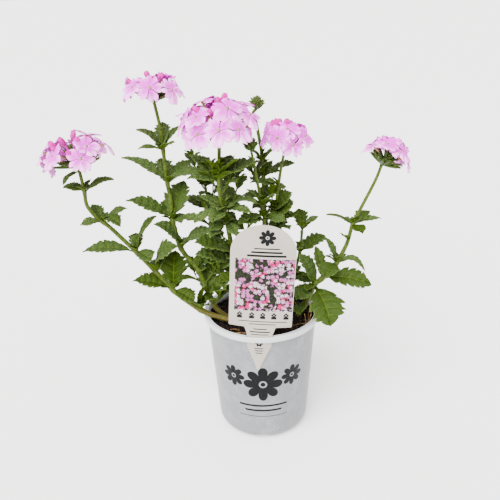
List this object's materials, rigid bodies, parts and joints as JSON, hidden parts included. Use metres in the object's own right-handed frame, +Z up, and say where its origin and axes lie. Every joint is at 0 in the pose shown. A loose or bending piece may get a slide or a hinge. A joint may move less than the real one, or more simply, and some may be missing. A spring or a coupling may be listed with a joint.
{
  "type": "potted verbena plant",
  "caption": "Upright bushy bedding plant with toothed opposite leaves and domed heads of pink five-petalled florets, in a round plastic nursery pot with a plant label.",
  "frame": {"origin": "centre of the pot's base, on the surface that the pot stands on", "axes": "+Z up along the pot's axis, -Y towards the front where the plant label hangs, +X to the right seen from the front"},
  "size_m": [0.3352, 0.1304, 0.3551],
  "materials": {
    "pot_plastic": "white, smooth and slightly glossy, brighter at the rim",
    "potting_soil": "dark brown, matt, crumbly and fibrous",
    "label_plastic": "thin white sheet, satin",
    "foliage": "dark green, matt, with sunken veins and fine hairs",
    "petals": "pale orchid pink, soft and matt, deeper pink in bud"
  },
  "bodies": {
    "root": {"pot": "pot_plastic", "soil": "potting_soil", "plant_label": "label_plastic", "stem_left": "foliage", "stem_second": "foliage", "stem_middle": "foliage", "stem_right_middle": "foliage", "stem_right": "foliage", "stem_budding": "foliage", "stem_front_bud": "foliage", "stem_back_left": "foliage", "stem_back_right": "foliage", "head_left": "petals", "head_second": "petals", "head_middle": "petals", "head_right_middle": "petals", "head_right": "petals"}
  },
  "joints": []
}
